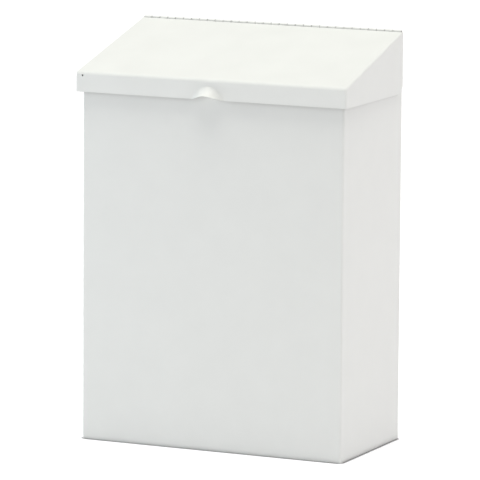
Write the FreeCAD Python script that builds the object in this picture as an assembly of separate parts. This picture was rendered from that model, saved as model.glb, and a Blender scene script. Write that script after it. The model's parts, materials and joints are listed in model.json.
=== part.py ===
import FreeCAD, Part
import math
import os

# Wall-mounted steel waste receptacle with a hinged one-piece lid and a lift-out liner.
# Frame: X across the front, -Y to the front, +Y to the wall, +Z up.
# The origin is the bottom centre of the closed part's outer box. All sizes in mm.

# ---- Body ----
BODY_WIDTH = 203.2
BODY_DEPTH = 101.6
SHEET = 0.9                # 20 gauge steel, used for body and lid
BEND_INNER = 0.9           # inside radius of every bend in the sheet
RIM_FLANGE = 10.0          # inward rim under the lid
REAR_RETURN = 12.0         # flange on each side wall that carries the back panel
RIM_RELIEF = 0.7           # slit between two rim flanges at a corner
PAN_FLANGE = 11.0          # upturned edge of the bottom pan
PAN_CORNER_RELIEF = 3.0
WALL_HOLE_DIA = 5.6        # for number 10 or M5 wall screws
WALL_HOLE_SPACING_X = 127.0
WALL_HOLE_SPACING_Z = 190.5
WALL_HOLE_FIRST_Z = 42.0

# ---- Lid ----
LIP_BOTTOM_Z = 251.6
LIP_HEIGHT = 14.4
LID_SLOPE_DEG = 15.7
LIP_OVERHANG = 4.4         # outer face of the lip to the body's front
LID_SIDE_OVERHANG_FRONT = 3.5
LID_SIDE_OVERHANG_REAR = 1.3
LID_REAR_SETBACK = 1.6     # flaps stop this far short of the wall plane
FLAP_REAR_DROP = 0.85
FLAP_CHAMFER = 5.0
LIP_BEND_OUTER = 3.2
FLAP_BEND_OUTER = 1.5       # also the welded corner between lip and flap
HANG_HOLE_DIA = 1.3        # for hanging the lid in the paint booth
HANG_HOLE_FROM_SIDE = 5.5
HANG_HOLE_Z = 263.4

# ---- Finger lift, pressed into the lip's lower edge ----
LIFT_CENTRE_X = -1.5
LIFT_HALF_WIDTH = 13.5
LIFT_HEIGHT = 9.6
LIFT_REACH = 7.5
LIFT_RISE = 3.4

# ---- Continuous hinge ----
KNUCKLES = 32              # both leaves together, alternating
KNUCKLE_GAP = 0.35
PIN_DIA = 1.5
PIN_CLEARANCE = 0.05       # radial, between pin and knuckle
LEAF = 0.7
LEAF_LENGTH = 15.0
PIN_UNDER_LID = 0.6        # pin axis below the lid's outer top face
BARREL_TO_WALL = 0.1
LID_LEAF_TRIM = 0.8        # off each end of the lid leaf, clear of the flap bends
HINGE_AIR = 0.3            # kept open round the barrel

# ---- Lift-out liner ----
LINER_SHEET = 0.7
LINER_BEND_OUTER = 3.0
LINER_PASS = 10.5          # side room between liner wall and the rim flange
LINER_FRONT_PASS = 1.6
LINER_REAR_ROOM = 4.0      # for the heads of the wall screws
LINER_HEIGHT = 238.0
LINER_HEM = 1.5
LINER_HEM_HEIGHT = 8.0
LINER_PAN_FLANGE = 9.0
LINER_PAN_RAISE = 4.0
EAR_WIDTH = 14.0
EAR_SHEET = 1.2
EAR_OFFSET = 3.4           # step that holds the upper part of the ear off the wall
EAR_FLAT = 20.0            # riveted part
EAR_UPPER = 15.0
EAR_TOP_BELOW_RIM = 9.5
RIVET_SHANK_DIA = 3.2
RIVET_HEAD_DIA = 6.0
RIVET_HEAD_HEIGHT = 1.1
RIVET_PITCH = 10.0
BAIL_WIRE_DIA = 3.0
BAIL_CLEARANCE = 0.1       # radial, between wire end and ear hole
BAIL_REACH = 34.0
BAIL_BEND = 7.0
BAIL_HOOK = 2.4            # centre-line radius of the hooked ends
BAIL_SIDE_AIR = 0.1
BAIL_REST_AIR = 0.3

# ---- Derived from the sizes above ----
SLOPE = math.radians(LID_SLOPE_DEG)
TAN = math.tan(SLOPE)
HALF_WIDTH = BODY_WIDTH / 2
WALL_Y = (BODY_DEPTH + LIP_OVERHANG + LIFT_REACH) / 2
FRONT_Y = WALL_Y - BODY_DEPTH
LIP_Y = FRONT_Y - LIP_OVERHANG
LIP_TOP_Z = LIP_BOTTOM_Z + LIP_HEIGHT
LID_REAR_Y = WALL_Y - LID_REAR_SETBACK
BEND_OUTER = BEND_INNER + SHEET
BARREL_R = PIN_DIA / 2 + PIN_CLEARANCE + LEAF
PIN_Y = WALL_Y - BARREL_TO_WALL - BARREL_R
BACK_INNER_Y = WALL_Y - SHEET


def lid_top_z(y):
    """Height of the lid's outer top face at a depth y."""
    return LIP_TOP_Z + (y - LIP_Y) * TAN


def below_lid(y, drop):
    """Height of a plane that lies a true distance drop under the lid's outer top face."""
    return lid_top_z(y) - drop / math.cos(SLOPE)


PIN_Z = below_lid(PIN_Y, PIN_UNDER_LID)
BACK_TOP_Z = PIN_Z - BARREL_R - HINGE_AIR
LEAF_BOTTOM_Z = PIN_Z - LEAF_LENGTH
LID_LEAF_FRONT_Y = PIN_Y - LEAF_LENGTH * math.cos(SLOPE)
LID_TOP_REAR_Y = PIN_Y - BARREL_R - HINGE_AIR
RIM_REAR_Y = LID_LEAF_FRONT_Y - 1.0

LINER_HALF_X = HALF_WIDTH - RIM_FLANGE - LINER_PASS
LINER_FRONT_Y = FRONT_Y + RIM_FLANGE + LINER_FRONT_PASS
LINER_REAR_Y = BACK_INNER_Y - LEAF - LINER_REAR_ROOM
LINER_MID_Y = (LINER_FRONT_Y + LINER_REAR_Y) / 2
LINER_TOP_Z = SHEET + LINER_HEIGHT
EAR_TOP_Z = LINER_TOP_Z - EAR_TOP_BELOW_RIM
PIVOT_Z = EAR_TOP_Z - EAR_WIDTH / 2
EAR_OUTER_X = LINER_HALF_X + EAR_OFFSET + EAR_SHEET
BAIL_HOLE_R = BAIL_WIRE_DIA / 2 + BAIL_CLEARANCE
LEG_X = EAR_OUTER_X + BAIL_SIDE_AIR + BAIL_HOOK
BAIL_REST_RISE = LINER_TOP_Z + BAIL_REST_AIR + BAIL_WIRE_DIA / 2 - PIVOT_Z
BAIL_REST = math.asin(BAIL_REST_RISE / BAIL_REACH)


def vec(x, y, z):
    return FreeCAD.Vector(x, y, z)


def box(x0, x1, y0, y1, z0, z1):
    """A box between two corners."""
    return Part.makeBox(x1 - x0, y1 - y0, z1 - z0, vec(x0, y0, z0))


def prism_x(points_yz, x0, x1):
    """A closed outline in the YZ plane, extruded along X."""
    outline = [vec(x0, y, z) for y, z in points_yz]
    face = Part.Face(Part.makePolygon(outline + outline[:1]))
    return face.extrude(vec(x1 - x0, 0, 0))


def prism_z(points_xy, z0, z1):
    """A closed outline in the XY plane, extruded along Z."""
    outline = [vec(x, y, z0) for x, y in points_xy]
    face = Part.Face(Part.makePolygon(outline + outline[:1]))
    return face.extrude(vec(0, 0, z1 - z0))


def rod_x(radius, x0, x1, y, z):
    """A round bar along X."""
    return Part.makeCylinder(radius, x1 - x0, vec(x0, y, z), vec(1, 0, 0))


def rod_y(radius, y0, y1, x, z):
    """A round bar along Y."""
    return Part.makeCylinder(radius, y1 - y0, vec(x, y0, z), vec(0, 1, 0))


def rounded(solid, rules):
    """Fillet the straight edges that each (radius, test) rule picks by its two end points."""
    for radius, test in rules:
        if radius <= 0:
            continue
        picked = []
        for edge in solid.Edges:
            ends = [v.Point for v in edge.Vertexes]
            if len(ends) == 2 and test(ends[0], ends[1]):
                picked.append(edge)
        solid = solid.makeFillet(radius, picked)
    return solid


def near(a, b):
    return abs(a - b) < 1e-4


def save(name, solids):
    """Write one node, as one solid or as a group of separate solids."""
    shape = solids[0] if len(solids) == 1 else Part.makeCompound(solids)
    for solid in solids:
        if not solid.isValid() or len(solid.Solids) != 1:
            raise ValueError(name + " is not a set of valid single solids")
    shape.exportStep(os.path.join("parts", name + ".step"))


# ---- Body wrapper: front and two sides bent from one sheet ----
def body_block(inset):
    """The body's outline as a solid, moved inward by inset on the front, sides and top."""
    x = HALF_WIDTH - inset
    y0 = FRONT_Y + inset
    y1 = BACK_INNER_Y + 1.0
    top = SHEET + inset
    side = [(y0, -1.0), (y1, -1.0), (y1, below_lid(y1, top)), (y0, below_lid(y0, top))]
    block = prism_x(side, -x, x)

    def bend(a, b):
        upright = near(a.x, b.x) and near(a.y, y0) and near(b.y, y0)
        sloping = near(a.z, below_lid(a.y, top)) and near(b.z, below_lid(b.y, top))
        return upright or (sloping and not (near(a.y, y1) and near(b.y, y1)))

    return rounded(block, [(BEND_OUTER - inset, bend)])


def bent_body():
    shell = body_block(0.0).cut(body_block(SHEET))
    shell = shell.common(box(-HALF_WIDTH, HALF_WIDTH, FRONT_Y, BACK_INNER_Y, 0.0, LIP_TOP_Z * 2))
    rim_x = HALF_WIDTH - RIM_FLANGE
    shell = shell.cut(box(-rim_x, rim_x, FRONT_Y + RIM_FLANGE, WALL_Y, LIP_BOTTOM_Z, PIN_Z * 2))
    # Behind the rim the side walls drop to clear the lid leaf and the barrel.
    drop = SHEET + LEAF + HINGE_AIR
    high = PIN_Z * 2
    clear = [(RIM_REAR_Y, below_lid(RIM_REAR_Y, drop)), (WALL_Y, below_lid(WALL_Y, drop)),
             (WALL_Y, high), (RIM_REAR_Y, high)]
    shell = shell.cut(prism_x(clear, -HALF_WIDTH - 1, HALF_WIDTH + 1))
    shell = shell.cut(box(-HALF_WIDTH - 1, HALF_WIDTH + 1, LID_TOP_REAR_Y, WALL_Y, BACK_TOP_Z, high))
    # The body leaf is sandwiched between the side walls' rear edges and the back panel.
    leaf_y = BACK_INNER_Y - LEAF
    shell = shell.cut(box(-HALF_WIDTH - 1, HALF_WIDTH + 1, leaf_y, WALL_Y, LEAF_BOTTOM_Z, high))
    for side in (-1, 1):
        slit = box(-RIM_RELIEF / 2, RIM_RELIEF / 2, 0.0, RIM_FLANGE * 2, LIP_BOTTOM_Z, high)
        slit.rotate(vec(0, 0, 0), vec(0, 0, 1), side * 45)
        slit.translate(vec(side * (HALF_WIDTH - BEND_OUTER), FRONT_Y + BEND_OUTER, 0))
        shell = shell.cut(slit)
        x0 = side * (HALF_WIDTH - SHEET)
        x1 = side * (HALF_WIDTH - REAR_RETURN)
        low = SHEET + PAN_FLANGE + 1.5
        top = LEAF_BOTTOM_Z - 1.0
        flange = box(min(x0, x1), max(x0, x1), BACK_INNER_Y - SHEET, BACK_INNER_Y, low, top)
        shell = shell.fuse(flange)
    return shell.removeSplitter().Solids


# ---- Back panel with four wall screw holes ----
def back_panel():
    panel = box(-HALF_WIDTH, HALF_WIDTH, BACK_INNER_Y, WALL_Y, 0.0, BACK_TOP_Z)
    for x in (-WALL_HOLE_SPACING_X / 2, WALL_HOLE_SPACING_X / 2):
        for z in (WALL_HOLE_FIRST_Z, WALL_HOLE_FIRST_Z + WALL_HOLE_SPACING_Z):
            panel = panel.cut(rod_y(WALL_HOLE_DIA / 2, BACK_INNER_Y - 1, WALL_Y + 1, x, z))
    return panel.Solids


# ---- Pans: a floor with upturned, corner-relieved edges ----
def pan(half_x, y0, y1, z0, sheet, flange, relief):
    """A shallow tray whose edges are bent up on four sides and open at the corners."""
    outer_r = BEND_INNER + sheet
    z1 = z0 + flange
    outer = box(-half_x, half_x, y0, y1, z0, z1)
    inner = box(-half_x + sheet, half_x - sheet, y0 + sheet, y1 - sheet, z0 + sheet, z1 + 1)

    def at_floor(level):
        return lambda a, b: near(a.z, level) and near(b.z, level)

    outer = rounded(outer, [(outer_r, at_floor(z0))])
    inner = rounded(inner, [(BEND_INNER, at_floor(z0 + sheet))])
    tray = outer.cut(inner)
    for sx in (-1, 1):
        for y_edge, sy in ((y0, 1), (y1, -1)):
            xa, xb = sx * half_x, sx * (half_x - relief)
            ya, yb = y_edge, y_edge + sy * relief
            tray = tray.cut(box(min(xa, xb), max(xa, xb), min(ya, yb), max(ya, yb), z0 - 1, z1 + 1))
    return tray.removeSplitter().Solids


def bottom_pan():
    """The floor, its upturned edges spot-welded face to face to the walls."""
    x = HALF_WIDTH - SHEET
    return pan(x, FRONT_Y + SHEET, BACK_INNER_Y, 0.0, SHEET, PAN_FLANGE, PAN_CORNER_RELIEF)


# ---- Continuous hinge: two leaves with alternating knuckles on one pin ----
def knuckle_span(index):
    """Start and end along X of one knuckle, with the gap shared at both ends."""
    pitch = BODY_WIDTH / KNUCKLES
    start = -HALF_WIDTH + index * pitch
    left = 0.0 if index == 0 else KNUCKLE_GAP / 2
    right = 0.0 if index == KNUCKLES - 1 else KNUCKLE_GAP / 2
    return start + left, start + pitch - right


def leaf_with_knuckles(plate, bridge, first):
    """Join a leaf's plate to every second knuckle and bore them for the pin."""
    leaf = plate
    for index in range(first, KNUCKLES, 2):
        x0, x1 = knuckle_span(index)
        knuckle = rod_x(BARREL_R, x0, x1, PIN_Y, PIN_Z)
        leaf = leaf.fuse([knuckle, bridge(x0, x1)])
    bore = rod_x(PIN_DIA / 2 + PIN_CLEARANCE, -HALF_WIDTH - 1, HALF_WIDTH + 1, PIN_Y, PIN_Z)
    return leaf.cut(bore).removeSplitter().Solids


def body_leaf():
    y0, y1 = BACK_INNER_Y - LEAF, BACK_INNER_Y
    plate = box(-HALF_WIDTH, HALF_WIDTH, y0, y1, LEAF_BOTTOM_Z, BACK_TOP_Z)

    def bridge(x0, x1):
        return box(x0, x1, y0, y1, BACK_TOP_Z - 1, PIN_Z)

    return leaf_with_knuckles(plate, bridge, 0)


def lid_leaf():
    """Plate under the lid's top, with a tongue to the pin between the body's knuckles."""
    half = HALF_WIDTH - LID_LEAF_TRIM

    def strip(y0, y1, x0, x1):
        outline = [(y0, below_lid(y0, SHEET)), (y1, below_lid(y1, SHEET)),
                   (y1, below_lid(y1, SHEET + LEAF)), (y0, below_lid(y0, SHEET + LEAF))]
        return prism_x(outline, x0, x1)

    def bridge(x0, x1):
        return strip(LID_TOP_REAR_Y - 1, PIN_Y, max(x0, -half), min(x1, half))

    plate = strip(LID_LEAF_FRONT_Y, LID_TOP_REAR_Y, -half, half)
    return leaf_with_knuckles(plate, bridge, 1)


def hinge_pin():
    return [rod_x(PIN_DIA / 2, -HALF_WIDTH, HALF_WIDTH, PIN_Y, PIN_Z)]


# ---- Lid: top, lip and side flaps from one sheet ----
def lid_block(inset):
    """The lid's outline as a solid, moved inward by inset everywhere but the rear and bottom."""
    y0 = LIP_Y + inset
    y1 = LID_REAR_Y if inset == 0 else WALL_Y
    run = LID_REAR_Y - LIP_Y
    spread = (LID_SIDE_OVERHANG_FRONT - LID_SIDE_OVERHANG_REAR) / run
    wide = HALF_WIDTH + LID_SIDE_OVERHANG_FRONT + 1
    rear_z = LIP_BOTTOM_Z - FLAP_REAR_DROP

    def half_x(y):
        return HALF_WIDTH + LID_SIDE_OVERHANG_FRONT - (y - LIP_Y) * spread - inset

    def skin_z(y):
        return below_lid(y, inset)

    if inset == 0:
        side = [(y0, LIP_BOTTOM_Z), (y1 - FLAP_CHAMFER, rear_z), (y1, rear_z + FLAP_CHAMFER)]
    else:
        low = LIP_BOTTOM_Z - 50.0
        side = [(y0, low), (y1, low)]
    side = side + [(y1, skin_z(y1)), (y0, skin_z(y0))]

    def lip_bend(a, b):
        return near(a.z, skin_z(y0)) and near(b.z, skin_z(y0))

    profile = rounded(prism_x(side, -wide, wide), [(LIP_BEND_OUTER - inset, lip_bend)])
    plan = [(-half_x(y0), y0), (half_x(y0), y0), (half_x(y1), y1), (-half_x(y1), y1)]
    block = profile.common(prism_z(plan, 0.0, PIN_Z * 2))

    def on_skin(p):
        return near(p.y, y0) or near(p.z, skin_z(p.y))

    def flap_bend(a, b):
        return a.x * b.x > 0 and on_skin(a) and on_skin(b)

    return rounded(block, [(FLAP_BEND_OUTER - inset, flap_bend)])


def lift_surface(offset):
    """Spline surface of the pressed finger lift, at a depth offset behind the outer face."""
    rows = []
    across, up = 20, 12
    for j in range(up + 1):
        height = j / up
        left = 1 - height
        row = []
        for i in range(across + 1):
            side = 2 * i / across - 1
            span = min(1.0, abs(side) / max(left, 0.05) ** 0.38)
            swell = left * math.cos(math.pi * span / 2) ** 2
            rise = LIFT_RISE * math.cos(math.pi * side / 2) ** 2 * left ** 2
            x = LIFT_CENTRE_X + side * LIFT_HALF_WIDTH
            y = LIP_Y - LIFT_REACH * swell + offset
            z = LIP_BOTTOM_Z + height * LIFT_HEIGHT + rise
            row.append(vec(x, y, z))
        rows.append(row)
    surface = Part.BSplineSurface()
    surface.interpolate(rows)
    return surface


def finger_lift():
    """Solid patch of the lip with the lift pressed out of it."""
    outer = lift_surface(0.0)
    inner = lift_surface(SHEET)
    faces = [outer.toShape(), inner.toShape()]
    u0, u1, v0, v1 = outer.bounds()
    for edge in ("u0", "u1", "v0", "v1"):
        value = {"u0": u0, "u1": u1, "v0": v0, "v1": v1}[edge]
        if edge[0] == "u":
            pair = (outer.uIso(value).toShape(), inner.uIso(value).toShape())
        else:
            pair = (outer.vIso(value).toShape(), inner.vIso(value).toShape())
        faces.append(Part.makeRuledSurface(pair[0], pair[1]))
    shell = Part.makeShell(faces)
    shell.sewShape()
    solid = Part.makeSolid(shell)
    if solid.Volume < 0:
        solid.reverse()
    return solid


def lid_shell():
    shell = lid_block(0.0).cut(lid_block(SHEET))
    # The top panel stops ahead of the barrel; the flaps run on past it.
    inner_x = HALF_WIDTH + LID_SIDE_OVERHANG_REAR - SHEET
    drop = FLAP_BEND_OUTER + 0.2
    clear = [(LID_TOP_REAR_Y, below_lid(LID_TOP_REAR_Y, drop)), (WALL_Y, below_lid(WALL_Y, drop)),
             (WALL_Y, PIN_Z * 2), (LID_TOP_REAR_Y, PIN_Z * 2)]
    shell = shell.cut(prism_x(clear, -inner_x, inner_x))
    hole_x = -(HALF_WIDTH + LID_SIDE_OVERHANG_FRONT - HANG_HOLE_FROM_SIDE)
    shell = shell.cut(rod_y(HANG_HOLE_DIA / 2, LIP_Y - 1, LIP_Y + 4 * SHEET, hole_x, HANG_HOLE_Z))
    x0, x1 = LIFT_CENTRE_X - LIFT_HALF_WIDTH, LIFT_CENTRE_X + LIFT_HALF_WIDTH
    notch = box(x0, x1, LIP_Y - 1, LIP_Y + SHEET + 1,
                LIP_BOTTOM_Z - 1, LIP_BOTTOM_Z + LIFT_HEIGHT)
    shell = shell.cut(notch).fuse(finger_lift())
    return shell.Solids


# ---- Lift-out liner: can, floor, ears, rivets and bail ----
def liner_shell():
    """Four walls wrapped from one sheet, with the rim doubled by a hem on the inside."""
    x, y0, y1 = LINER_HALF_X, LINER_FRONT_Y, LINER_REAR_Y
    z0, z1 = SHEET, LINER_TOP_Z

    def upright(a, b):
        return near(a.x, b.x) and near(a.y, b.y)

    def tube(grow, low, high):
        block = box(-x - grow, x + grow, y0 - grow, y1 + grow, low, high)
        return rounded(block, [(LINER_BEND_OUTER + grow, upright)])

    can = tube(0.0, z0, z1).cut(tube(-LINER_SHEET, z0 - 1, z1 + 1))
    hem = tube(0.0, z1 - LINER_HEM_HEIGHT, z1)
    hem = hem.cut(tube(-LINER_HEM, z1 - LINER_HEM_HEIGHT - 1, z1 + 1))
    can = can.fuse(hem)
    for side in (-1, 1):
        for z in rivet_heights():
            x0, x1 = side * (x + 1), side * (x - LINER_SHEET - 1)
            hole = rod_x(RIVET_SHANK_DIA / 2, min(x0, x1), max(x0, x1), LINER_MID_Y, z)
            can = can.cut(hole)
    return can.removeSplitter().Solids


def liner_floor():
    gap = LINER_SHEET
    return pan(LINER_HALF_X - gap, LINER_FRONT_Y + gap, LINER_REAR_Y - gap,
               SHEET + LINER_PAN_RAISE, LINER_SHEET, LINER_PAN_FLANGE, LINER_BEND_OUTER)


def rivet_heights():
    """Heights of the two rivets in an ear's flat."""
    flat_top = EAR_TOP_Z - EAR_UPPER - EAR_OFFSET
    middle = flat_top - EAR_FLAT / 2
    return middle - RIVET_PITCH / 2, middle + RIVET_PITCH / 2


def liner_ear(side):
    """Bracket with its lower part flat on the liner and its upper part stepped outward."""
    x = LINER_HALF_X
    y0, y1 = LINER_MID_Y - EAR_WIDTH / 2, LINER_MID_Y + EAR_WIDTH / 2
    top = EAR_TOP_Z
    knee = top - EAR_UPPER
    foot = knee - EAR_OFFSET
    low = foot - EAR_FLAT
    lean = EAR_SHEET * math.tan(math.radians(22.5))
    outline = [(x, low), (x + EAR_SHEET, low), (x + EAR_SHEET, foot - lean),
               (x + EAR_OFFSET + EAR_SHEET, knee - lean), (x + EAR_OFFSET + EAR_SHEET, top),
               (x + EAR_OFFSET, top), (x + EAR_OFFSET, knee), (x, foot)]
    points = [vec(side * a, y0, b) for a, b in outline]
    face = Part.Face(Part.makePolygon(points + points[:1]))
    ear = face.extrude(vec(0, y1 - y0, 0))

    def corner(a, b):
        level = near(a.z, b.z) and near(a.y, b.y)
        return level and (near(a.z, top) or near(a.z, low)) and not near(a.x, b.x)

    ear = rounded(ear, [(EAR_WIDTH / 2 - 0.5, corner)])
    cuts = [rod_x(BAIL_HOLE_R, -EAR_OUTER_X - 1, EAR_OUTER_X + 1, LINER_MID_Y, PIVOT_Z)]
    for z in rivet_heights():
        cuts.append(rod_x(RIVET_SHANK_DIA / 2, -EAR_OUTER_X, EAR_OUTER_X, LINER_MID_Y, z))
    for cut in cuts:
        ear = ear.cut(cut)
    return ear.Solids


def dome(side, x_flat, y, z):
    """A shallow rivet head that stands off a face towards side."""
    r = RIVET_HEAD_DIA / 2
    h = RIVET_HEAD_HEIGHT
    ball_r = (r * r + h * h) / (2 * h)
    ball = Part.makeSphere(ball_r, vec(x_flat + side * (h - ball_r), y, z))
    x0, x1 = x_flat, x_flat + side * (h + 1)
    return ball.common(rod_x(r + 1, min(x0, x1), max(x0, x1), y, z))


def ear_rivets():
    """Four solid rivets, each with a head on the ear and one inside the can."""
    rivets = []
    for side in (-1, 1):
        for z in rivet_heights():
            inside = side * (LINER_HALF_X - LINER_SHEET)
            outside = side * (LINER_HALF_X + EAR_SHEET)
            x0, x1 = min(inside, outside), max(inside, outside)
            shank = rod_x(RIVET_SHANK_DIA / 2, x0, x1, LINER_MID_Y, z)
            heads = [dome(side, outside, LINER_MID_Y, z), dome(-side, inside, LINER_MID_Y, z)]
            rivets.append(shank.fuse(heads).removeSplitter())
    return rivets


def liner_bail():
    """Wire handle, lying forward on the liner's rim."""
    dy = -math.cos(BAIL_REST)
    dz = math.sin(BAIL_REST)
    end_x = LINER_HALF_X + 0.6

    def at(x, along):
        return vec(x, LINER_MID_Y + along * dy, PIVOT_Z + along * dz)

    # Hooked end, leg, corner, grip, corner, leg and hooked end, as straight runs and arcs.
    corner = BAIL_BEND
    hook = BAIL_HOOK
    cut45 = math.cos(math.radians(45))
    edges = []

    def arc(centre_x, centre_along, r, sx, sa):
        """Quarter arc from the run along X to the leg, or back."""
        start = at(centre_x, centre_along + sa * r)
        mid = at(centre_x + sx * r * cut45, centre_along + sa * r * cut45)
        end = at(centre_x + sx * r, centre_along)
        return Part.Arc(start, mid, end).toShape()

    reach = BAIL_REACH
    edges.append(Part.makeLine(at(-end_x, 0), at(-LEG_X + hook, 0)))
    edges.append(arc(-LEG_X + hook, hook, hook, -1, -1))
    edges.append(Part.makeLine(at(-LEG_X, hook), at(-LEG_X, reach - corner)))
    edges.append(arc(-LEG_X + corner, reach - corner, corner, -1, 1))
    edges.append(Part.makeLine(at(-LEG_X + corner, reach), at(LEG_X - corner, reach)))
    edges.append(arc(LEG_X - corner, reach - corner, corner, 1, 1))
    edges.append(Part.makeLine(at(LEG_X, reach - corner), at(LEG_X, hook)))
    edges.append(arc(LEG_X - hook, hook, hook, 1, -1))
    edges.append(Part.makeLine(at(LEG_X - hook, 0), at(end_x, 0)))
    path = Part.Wire(Part.__sortEdges__(edges))
    section = Part.Wire(Part.makeCircle(BAIL_WIRE_DIA / 2, at(-end_x, 0), vec(1, 0, 0)))
    return path.makePipeShell([section], True, True).Solids


def main():
    os.makedirs("parts", exist_ok=True)
    save("body_wrapper", bent_body())
    save("back_panel", back_panel())
    save("bottom_pan", bottom_pan())
    save("hinge_leaf_body", body_leaf())
    save("hinge_leaf_lid", lid_leaf())
    save("hinge_pin", hinge_pin())
    save("lid_shell", lid_shell())
    save("liner_shell", liner_shell())
    save("liner_floor", liner_floor())
    save("liner_ear_left", liner_ear(-1))
    save("liner_ear_right", liner_ear(1))
    save("ear_rivets", ear_rivets())
    save("liner_bail", liner_bail())
    print("pin at y %.4f z %.4f" % (PIN_Y, PIN_Z))
    print("bail pivot at y %.4f z %.4f, rest %.2f deg" % (LINER_MID_Y, PIVOT_Z,
                                                          math.degrees(BAIL_REST)))


main()
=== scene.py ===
import json
import math

import bmesh
import bpy
from mathutils import Matrix, Vector


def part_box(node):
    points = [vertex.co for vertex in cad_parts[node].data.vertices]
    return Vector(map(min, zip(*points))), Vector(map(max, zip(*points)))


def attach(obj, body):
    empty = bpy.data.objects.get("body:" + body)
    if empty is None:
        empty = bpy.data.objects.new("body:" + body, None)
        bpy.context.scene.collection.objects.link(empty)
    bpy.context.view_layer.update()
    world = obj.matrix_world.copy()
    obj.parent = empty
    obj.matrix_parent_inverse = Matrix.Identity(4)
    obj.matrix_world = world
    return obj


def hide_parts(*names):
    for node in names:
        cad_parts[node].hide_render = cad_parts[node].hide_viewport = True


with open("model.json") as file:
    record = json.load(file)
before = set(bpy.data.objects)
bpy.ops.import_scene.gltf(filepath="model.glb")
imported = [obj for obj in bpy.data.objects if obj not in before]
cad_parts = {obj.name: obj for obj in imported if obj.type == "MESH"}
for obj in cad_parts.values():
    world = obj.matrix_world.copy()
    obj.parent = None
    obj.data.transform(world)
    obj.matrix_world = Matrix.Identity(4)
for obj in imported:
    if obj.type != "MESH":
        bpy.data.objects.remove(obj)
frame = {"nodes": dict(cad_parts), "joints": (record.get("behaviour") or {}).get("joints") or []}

bpy.context.view_layer.update()


# ---------------------------------------------------------------- body wrapper
# The front and both sides are one sheet of 0.9 mm steel, bent at the two front
# corners and turned inward at the top as a rim for the lid to close on. Its cut
# edges are deburred, and it is powder-coated white with the rest of the body.

def linear(code):
    """An sRGB hex colour as linear RGBA."""
    levels = [int(code[i:i + 2], 16) / 255 for i in (1, 3, 5)]
    return [c / 12.92 if c <= 0.04045 else ((c + 0.055) / 1.055) ** 2.4 for c in levels] + [1.0]


def add(tree, kind, values=None, links=None, **settings):
    """Add one shader node with its settings, its socket values and its links."""
    made = tree.nodes.new("ShaderNode" + kind)
    for key, value in settings.items():
        setattr(made, key, value)
    for socket, value in (values or {}).items():
        made.inputs[socket].default_value = value
    for socket, source in (links or {}).items():
        tree.links.new(source, made.inputs[socket])
    return made


def new_finish(name):
    """A material with an empty Principled shader, its tree and its shader."""
    material = bpy.data.materials.new(name)
    material.use_nodes = True
    return material, material.node_tree, material.node_tree.nodes["Principled BSDF"]


def edge_mask(tree, reach_mm):
    """A 0 to 1 mask that rises within reach of a sharp edge, where handling rubs."""
    eased = add(tree, "Bevel", {"Radius": reach_mm / 1000}, samples=4)
    own_normal = add(tree, "NewGeometry").outputs["Normal"]
    facing = add(tree, "VectorMath", links={0: eased.outputs["Normal"], 1: own_normal},
                 operation="DOT_PRODUCT")
    limits = {"From Min": 0.995, "From Max": 0.80, "To Min": 0.0, "To Max": 1.0}
    return add(tree, "MapRange", limits, {"Value": facing.outputs["Value"]}).outputs["Result"]


def metal_skin(tree, shader, colours, pattern, rough, relief_mm, rubbed, rub_mm):
    """Colour, roughness and relief from one pattern, brighter and smoother at rubbed edges."""
    edge = edge_mask(tree, rub_mm)
    tint = add(tree, "Mix", {6: linear(colours[0]), 7: linear(colours[1])}, {0: pattern},
               data_type="RGBA")
    rubbed_tint = add(tree, "Mix", {7: linear(rubbed)}, {0: edge, 6: tint.outputs[2]},
                      data_type="RGBA")
    tree.links.new(rubbed_tint.outputs[2], shader.inputs["Base Color"])
    matte = add(tree, "MapRange", {"To Min": rough[0], "To Max": rough[1]}, {"Value": pattern})
    polish = add(tree, "MapRange", {"To Min": 1.0, "To Max": 0.7}, {"Value": edge})
    final = add(tree, "Math", links={0: matte.outputs["Result"], 1: polish.outputs["Result"]},
                operation="MULTIPLY")
    tree.links.new(final.outputs["Value"], shader.inputs["Roughness"])
    relief = add(tree, "Bump", {"Strength": 0.6, "Distance": relief_mm / 1000}, {"Height": pattern})
    tree.links.new(relief.outputs["Normal"], shader.inputs["Normal"])


def deburred(node, body, name, edge_mm, finish):
    """A CAD piece's own shape with its raw sheet edges eased to a small round."""
    source = frame["nodes"][node]
    bm = bmesh.new()
    bm.from_mesh(source.data)
    bmesh.ops.remove_doubles(bm, verts=bm.verts, dist=1e-6)
    bmesh.ops.dissolve_limit(bm, angle_limit=math.radians(0.2), verts=bm.verts, edges=bm.edges)
    raw = [e for e in bm.edges if e.is_manifold and e.calc_face_angle() > math.radians(38)]
    bmesh.ops.bevel(bm, geom=raw, offset=edge_mm / 1000, segments=2, profile=0.5,
                    affect="EDGES", clamp_overlap=True)
    for face in bm.faces:
        face.smooth = True
    for e in bm.edges:
        e.smooth = not (e.is_manifold and e.calc_face_angle() > math.radians(50))
    mesh = bpy.data.meshes.new(name)
    bm.to_mesh(mesh)
    bm.free()
    piece = bpy.data.objects.new(name, mesh)
    bpy.context.scene.collection.objects.link(piece)
    weighted = piece.modifiers.new("flats stay flat", "WEIGHTED_NORMAL")
    weighted.weight = 60
    weighted.keep_sharp = True
    mesh.materials.append(finish)
    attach(piece, body)
    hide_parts(node)
    return piece


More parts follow.
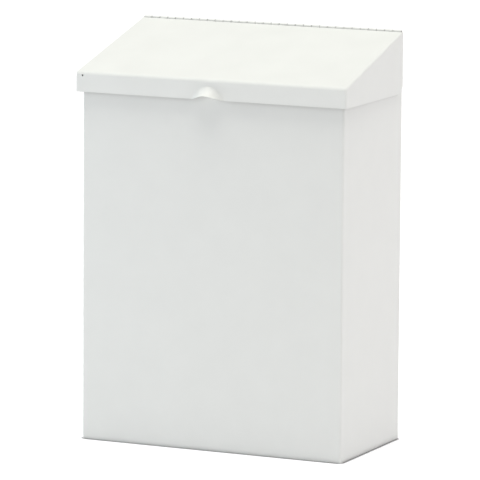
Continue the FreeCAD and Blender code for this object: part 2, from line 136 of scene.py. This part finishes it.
# Polyester powder coat, sprayed dry and oven-cured: a thick opaque white skin with
# a semi-gloss, a faint orange peel, a thinner grey line where it draws off edges, and painted shade
# in tight corners.
powder_coat, tree, shader = new_finish("polyester_powder_coat_white_cured")
PEEL_MM = 1.6              # wavelength of orange peel in a 70 micron coat
PEEL_HEIGHT_MM = 0.012
PANEL_WAVE_MM = 95.0       # slow waviness that rolling leaves in thin sheet
PANEL_WAVE_HEIGHT_MM = 0.35
HANDLING_MM = 24.0         # size of the cloudy patches that hands and cloths leave
EDGE_DRAW_MM = 0.5         # how far back from an edge the coat thins
SHADE_REACH_MM = 9.0        # how far out of a tight corner the painted shade reaches
SHADE_FADE_LOW_MM, SHADE_FADE_HIGH_MM = 10.0, 30.0    # painted shade fades out towards the foot of the walls

place = add(tree, "TexCoord").outputs["Object"]
cloud = add(tree, "TexNoise", {"Scale": 1000 / HANDLING_MM, "Detail": 4.0, "Roughness": 0.55},
            {"Vector": place})
peel = add(tree, "TexNoise", {"Scale": 1000 / PEEL_MM, "Detail": 1.0, "Roughness": 0.4},
           {"Vector": place})
wave = add(tree, "TexNoise", {"Scale": 1000 / PANEL_WAVE_MM, "Detail": 0.0}, {"Vector": place})
chips = add(tree, "TexNoise", {"Scale": 1000 / 2.6, "Detail": 3.0, "Roughness": 0.7},
            {"Vector": place})

edge = edge_mask(tree, EDGE_DRAW_MM)
worn = add(tree, "Math", links={0: edge, 1: chips.outputs["Fac"]},
           operation="MULTIPLY")
bare = add(tree, "MapRange", {"From Min": 0.60, "From Max": 0.66}, {"Value": worn.outputs["Value"]})

tone = add(tree, "Mix", {6: linear("#E9EAE7"), 7: linear("#EEEFEC")},
           {0: cloud.outputs["Fac"]}, data_type="RGBA")
thin = add(tree, "Math", {1: 0.22}, {0: edge}, operation="MULTIPLY")
drawn = add(tree, "Mix", {7: linear("#B9BBB8")}, {0: thin.outputs["Value"], 6: tone.outputs[2]},
            data_type="RGBA")
chipped = add(tree, "Mix", {7: linear("#7E7F7C")},
              {0: bare.outputs["Result"], 6: drawn.outputs[2]}, data_type="RGBA")
# Painted shade: ambient occlusion darkens the coat towards grey in tight corners, such as under the
# lid's lip, fading out near the foot of the walls.
crevice_occlusion = add(tree, "AmbientOcclusion", {"Distance": SHADE_REACH_MM / 1000}, samples=6)
painted_crevice_shade = add(tree, "MapRange", {"From Min": 0.84, "From Max": 0.42, "To Max": 0.56},
           {"Value": crevice_occlusion.outputs["AO"]})
height = add(tree, "SeparateXYZ", links={"Vector": place})
shade_above_foot = add(tree, "MapRange", {"From Min": SHADE_FADE_LOW_MM / 1000, "From Max": SHADE_FADE_HIGH_MM / 1000},
            {"Value": height.outputs["Z"]})
painted_shade_mask = add(tree, "Math", links={0: painted_crevice_shade.outputs["Result"], 1: shade_above_foot.outputs["Result"]},
              operation="MULTIPLY")
shaded_coat = add(tree, "Mix", {7: linear("#8C8C8A")},
            {0: painted_shade_mask.outputs["Value"], 6: chipped.outputs[2]}, data_type="RGBA")
tree.links.new(shaded_coat.outputs[2], shader.inputs["Base Color"])

gloss = add(tree, "MapRange", {"From Min": 0.3, "From Max": 0.7, "To Min": 0.46, "To Max": 0.56},
            {"Value": cloud.outputs["Fac"]})
tree.links.new(gloss.outputs["Result"], shader.inputs["Roughness"])
slow = add(tree, "Bump", {"Strength": 1.0, "Distance": PANEL_WAVE_HEIGHT_MM / 1000},
           {"Height": wave.outputs["Fac"]})
fine = add(tree, "Bump", {"Strength": 0.8, "Distance": PEEL_HEIGHT_MM / 1000},
           {"Height": peel.outputs["Fac"], "Normal": slow.outputs["Normal"]})
tree.links.new(fine.outputs["Normal"], shader.inputs["Normal"])
shader.inputs["IOR"].default_value = 1.5
shader.inputs["Specular IOR Level"].default_value = 0.32

SHEET_EDGE_MM = 0.16
deburred("body_wrapper", "bin", "wrapper", SHEET_EDGE_MM, powder_coat)


# ---------------------------------------------------------------- back panel
# A flat sheet that closes the rear and carries the wall screws. It is spot-welded
# to the wrapper's rear returns before coating.

deburred("back_panel", "bin", "back", SHEET_EDGE_MM, powder_coat)


# ---------------------------------------------------------------- bottom pan
# The floor: a shallow tray with its edges turned up and its corners notched, pushed
# up inside the walls and spot-welded.

deburred("bottom_pan", "bin", "pan", SHEET_EDGE_MM, powder_coat)


# ---------------------------------------------------------------- continuous hinge
# Two leaves rolled round one drawn steel pin. The leaves are coated with the body, so the
# knuckles are white; the pin is dark steel, which also paints shade into the gaps between them.

HINGE_EDGE_MM = 0.10
deburred("hinge_leaf_body", "bin", "hinge_body_side", HINGE_EDGE_MM, powder_coat)
deburred("hinge_leaf_lid", "lid", "hinge_lid_side", HINGE_EDGE_MM, powder_coat)

# Drawn carbon steel wire, oiled: dark grey, with fine die lines along its length; its dark grey also
# stands in for the shade in the knuckle gaps.
pin_steel_with_gap_shade, tree, shader = new_finish("carbon_steel_cold_drawn_dark_for_gap_shade")
DIE_LINE_MM = 0.12
place = add(tree, "TexCoord").outputs["Object"]
along = add(tree, "Mapping", {"Scale": (0.02, 1.0, 1.0)}, {"Vector": place})
lines = add(tree, "TexNoise", {"Scale": 1000 / DIE_LINE_MM, "Detail": 2.0},
            {"Vector": along.outputs["Vector"]})
metal_skin(tree, shader, ("#55534F", "#7D7B77"), lines.outputs["Fac"], (0.28, 0.50), 0.004,
           "#94928D", 0.15)
shader.inputs["Metallic"].default_value = 1.0
deburred("hinge_pin", "bin", "pin", HINGE_EDGE_MM, pin_steel_with_gap_shade)


# ---------------------------------------------------------------- lid
# One sheet: a sloped top, a lip folded down in front and a flap at each side, with
# the corners welded and ground. The finger lift is pressed out of the lip's edge.

deburred("lid_shell", "lid", "lid", SHEET_EDGE_MM, powder_coat)


# ---------------------------------------------------------------- spot welds
# The dished rings that the welding tips press into the sheet: down both rear returns
# and along both hinge leaves. The coat covers them, so they're white too.

WELD_PROFILE_MM = ((3.0, -0.05), (2.8, 0.07), (2.5, 0.12), (2.2, 0.09), (1.9, 0.02), (1.2, 0.01))
WELD_SIDES = 28
SHEET_MM, LEAF_MM = 0.9, 0.7
RETURN_MM = 12.0           # width of a rear return, welded down its middle
RETURN_WELD_HEIGHTS_MM = (34, 74, 114, 154, 194, 234, 266)
HINGE_WELD_X_MM = range(-90, 91, 30)
BODY_LEAF_WELD_RISE_MM = 5.9     # above the body leaf's lower edge
LID_LEAF_WELD_REACH_MM = 8.85    # down the slope from the pin
LEAF_UNDER_PIN_MM = 1.0          # from the pin's axis square to the lid leaf's lower face
LID_SLOPE = math.radians(15.7)


def weld_marks(name, body, spots, normal):
    """One mesh of dished rings, centred on spots in mm and facing along normal."""
    out = Vector(normal).normalized()
    side = out.cross(Vector((1.0, 0.0, 0.0)))
    points, faces = [], []
    for spot in spots:
        first = len(points)
        for radius, lift in WELD_PROFILE_MM:
            for k in range(WELD_SIDES):
                turn = 2 * math.pi * k / WELD_SIDES
                reach = Vector((math.cos(turn), 0.0, 0.0)) + side * math.sin(turn)
                points.append((Vector(spot) + reach * radius + out * lift) / 1000)
        for ring in range(len(WELD_PROFILE_MM) - 1):
            for k in range(WELD_SIDES):
                a, b = first + ring * WELD_SIDES + k, first + ring * WELD_SIDES + (k + 1) % WELD_SIDES
                faces.append((a, b, b + WELD_SIDES, a + WELD_SIDES))
        last = first + (len(WELD_PROFILE_MM) - 1) * WELD_SIDES
        faces.append(tuple(range(last, last + WELD_SIDES)))
    mesh = bpy.data.meshes.new(name)
    mesh.from_pydata(points, [], faces)
    for face in mesh.polygons:
        face.use_smooth = True
    mesh.materials.append(powder_coat)
    marks = bpy.data.objects.new(name, mesh)
    bpy.context.scene.collection.objects.link(marks)
    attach(marks, body)


wrapper_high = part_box("body_wrapper")[1] * 1000
back_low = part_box("back_panel")[0] * 1000
body_leaf_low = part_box("hinge_leaf_body")[0] * 1000
pin_axis = Vector(next(j["pos_m"] for j in frame["joints"] if j["name"] == "lid_hinge")) * 1000

forward = Vector((0.0, -1.0, 0.0))
return_x = wrapper_high.x - RETURN_MM / 2
weld_marks("return_welds", "bin",
           [(x, back_low.y - SHEET_MM, z) for x in (-return_x, return_x)
            for z in RETURN_WELD_HEIGHTS_MM], forward)
body_leaf_z = body_leaf_low.z + BODY_LEAF_WELD_RISE_MM
weld_marks("body_leaf_welds", "bin",
           [(x, back_low.y - LEAF_MM, body_leaf_z) for x in HINGE_WELD_X_MM], forward)

down_slope = Vector((0.0, -math.cos(LID_SLOPE), -math.sin(LID_SLOPE)))
under_lid = Vector((0.0, math.sin(LID_SLOPE), -math.cos(LID_SLOPE)))
lid_leaf = pin_axis + down_slope * LID_LEAF_WELD_REACH_MM + under_lid * LEAF_UNDER_PIN_MM
weld_marks("lid_leaf_welds", "lid", [(x, lid_leaf.y, lid_leaf.z) for x in HINGE_WELD_X_MM], under_lid)


# ---------------------------------------------------------------- liner
# A lift-out can in hot-dip galvanised sheet, wrapped from one blank with a hemmed
# rim, and a separate tray for its floor.

# Hot-dip galvanised steel: dull zinc that froze in flat crystals a few mm across.
galvanised, tree, shader = new_finish("steel_hot_dip_galvanised")
SPANGLE_MM = 7.0
place = add(tree, "TexCoord").outputs["Object"]
spangle = add(tree, "TexVoronoi", {"Scale": 1000 / SPANGLE_MM, "Randomness": 1.0},
              {"Vector": place})
grey = add(tree, "SeparateColor", links={"Color": spangle.outputs["Color"]})
frost = add(tree, "TexNoise", {"Scale": 1000 / 0.9, "Detail": 3.0}, {"Vector": place})
crystal = add(tree, "Math", {1: 0.85}, {0: grey.outputs["Red"]}, operation="MULTIPLY")
speckle = add(tree, "Math", {1: 0.15}, {0: frost.outputs["Fac"], 2: crystal.outputs["Value"]},
              operation="MULTIPLY_ADD")
metal_skin(tree, shader, ("#A2A8AA", "#C6CACB"), speckle.outputs["Value"], (0.36, 0.60), 0.02,
           "#D2D5D5", 0.4)
shader.inputs["Metallic"].default_value = 0.35

LINER_EDGE_MM = 0.12
deburred("liner_shell", "bin", "liner", LINER_EDGE_MM, galvanised)
deburred("liner_floor", "bin", "liner_base", LINER_EDGE_MM, galvanised)


# ---------------------------------------------------------------- ears and rivets
# Stepped brackets of the same galvanised sheet carry the bail, each held by two
# aluminium rivets.

deburred("liner_ear_left", "bin", "ear_left", LINER_EDGE_MM, galvanised)
deburred("liner_ear_right", "bin", "ear_right", LINER_EDGE_MM, galvanised)

# Cold-headed aluminium: pale and satin, with shallow pits that the rivet set leaves.
rivet_metal, tree, shader = new_finish("aluminium_cold_headed")
place = add(tree, "TexCoord").outputs["Object"]
pit = add(tree, "TexNoise", {"Scale": 1000 / 0.5, "Detail": 3.0}, {"Vector": place})
metal_skin(tree, shader, ("#A9ABAD", "#C9CBCC"), pit.outputs["Fac"], (0.25, 0.45), 0.01,
           "#D8D9DA", 0.2)
shader.inputs["Metallic"].default_value = 1.0
deburred("ear_rivets", "bin", "rivets", 0.08, rivet_metal)


# ---------------------------------------------------------------- bail
# The liner's handle: 3 mm zinc-plated wire bent to a stirrup, its ends hooked
# through the ears.

# Bright zinc over steel wire: bluish silver and fairly shiny, clouded where it's held.
zinc_wire, tree, shader = new_finish("steel_wire_bright_zinc_plated")
place = add(tree, "TexCoord").outputs["Object"]
rub = add(tree, "TexNoise", {"Scale": 1000 / 1.5, "Detail": 4.0}, {"Vector": place})
metal_skin(tree, shader, ("#9A9DA1", "#C4C6C8"), rub.outputs["Fac"], (0.20, 0.38), 0.012,
           "#D3D4D5", 0.3)
shader.inputs["Metallic"].default_value = 1.0
deburred("liner_bail", "bail", "bail", 0.10, zinc_wire)


# ---------------------------------------------------------------- floor
# A wide sweep of opal acrylic lit from below, with a painted contact shadow: a thin
# dark line painted wherever a piece touches it.

# Cast opal acrylic: milky and even, with no gloss or grain to see from here.
opal, tree, shader = new_finish("acrylic_opal_cast_backlit")
CONTACT_SHADOW_MM = 3.6
place = add(tree, "TexCoord").outputs["Object"]
haze = add(tree, "TexNoise", {"Scale": 1000 / 60.0, "Detail": 3.0}, {"Vector": place})
# Painted contact shadow: near a piece, ambient occlusion turns the floor's colour to dark grey and
# dims its glow.
contact_occlusion = add(tree, "AmbientOcclusion", {"Distance": CONTACT_SHADOW_MM / 1000}, samples=8)
outside_contact_shadow = add(tree, "MapRange", {"From Min": 0.58, "From Max": 0.90},
            {"Value": contact_occlusion.outputs["AO"]})
tint = add(tree, "Mix", {6: linear("#DCDCDD"), 7: linear("#DEDEDF")}, {0: haze.outputs["Fac"]},
           data_type="RGBA")
floor_with_contact_shadow = add(tree, "Mix", {6: linear("#3A3A3A")}, {0: outside_contact_shadow.outputs["Result"], 7: tint.outputs[2]},
             data_type="RGBA")
glow_dimmed_in_shadow = add(tree, "Math", {1: 0.37}, {0: outside_contact_shadow.outputs["Result"]}, operation="MULTIPLY")
tree.links.new(floor_with_contact_shadow.outputs[2], shader.inputs["Base Color"])
tree.links.new(glow_dimmed_in_shadow.outputs["Value"], shader.inputs["Emission Strength"])
shader.inputs["Emission Color"].default_value = linear("#FDFAFF")
shader.inputs["Roughness"].default_value = 0.9
shader.inputs["Specular IOR Level"].default_value = 0.0

FLOOR_HALF_M = 9.0
corners = [(x * FLOOR_HALF_M, y * FLOOR_HALF_M, 0.0) for x, y in ((-1, -1), (1, -1), (1, 1), (-1, 1))]
mesh = bpy.data.meshes.new("floor")
mesh.from_pydata(corners, [], [(0, 1, 2, 3)])
mesh.materials.append(opal)
floor = bpy.data.objects.new("floor", mesh)
bpy.context.scene.collection.objects.link(floor)


# ---------------------------------------------------------------- light and camera
# A white room with a broad soft light overhead and a low soft box at each side. A
# long lens looks from the front right and a little above.

world = bpy.data.worlds.new("white room")
bpy.context.scene.world = world
world.use_nodes = True
room = world.node_tree.nodes["Background"]
room.inputs["Color"].default_value = linear("#FFFFFF")
room.inputs["Strength"].default_value = 0.27


def soft_box(name, azimuth, elevation, distance, size, watts, colour):
    """A square area light aimed at the middle of the piece."""
    a, e = math.radians(azimuth), math.radians(elevation)
    aim = Vector((0.0, 0.0, 0.15))
    out = Vector((math.sin(a) * math.cos(e), -math.cos(a) * math.cos(e), math.sin(e)))
    lamp = bpy.data.lights.new(name, "AREA")
    lamp.size = size
    lamp.energy = watts
    lamp.color = linear(colour)[:3]
    holder = bpy.data.objects.new(name, lamp)
    holder.location = aim + out * distance
    holder.rotation_euler = out.to_track_quat("Z", "Y").to_euler()
    bpy.context.scene.collection.objects.link(holder)


soft_box("left box", -60, 8, 0.9, 0.5, 1.05, "#CFEAFF")
soft_box("right box", 110, 8, 1.6, 0.6, 2.4, "#FFF8FF")

ceiling = bpy.data.lights.new("ceiling", "SUN")
ceiling.energy = 2.70
ceiling.color = linear("#FFFFFA")[:3]
ceiling.angle = math.radians(50)
ceiling_holder = bpy.data.objects.new("ceiling", ceiling)
ceiling_holder.rotation_euler = (math.radians(3), 0.0, 0.0)
bpy.context.scene.collection.objects.link(ceiling_holder)

YAW, PITCH, ROLL = 0.4352627, 0.1555917, 0.0067616
AIM = Vector((-0.000776, 0.00515, 0.144629))
DISTANCE = 3.50119
back = Vector((math.sin(YAW) * math.cos(PITCH), -math.cos(YAW) * math.cos(PITCH), math.sin(PITCH)))
right = Vector((math.cos(YAW), math.sin(YAW), 0.0))
up = back.cross(right)
across = math.cos(ROLL) * right + math.sin(ROLL) * up
upward = math.cos(ROLL) * up - math.sin(ROLL) * right
lens = bpy.data.cameras.new("camera")
lens.sensor_width = 36.0
lens.lens = 367.16
lens.clip_end = 60.0
camera = bpy.data.objects.new("camera", lens)
camera.matrix_world = Matrix.Translation(AIM + back * DISTANCE) @ Matrix(
    (across, upward, back)).transposed().to_4x4()
bpy.context.scene.collection.objects.link(camera)
bpy.context.scene.camera = camera
bpy.context.scene.view_settings.view_transform = "Standard"

bpy.context.view_layer.update()
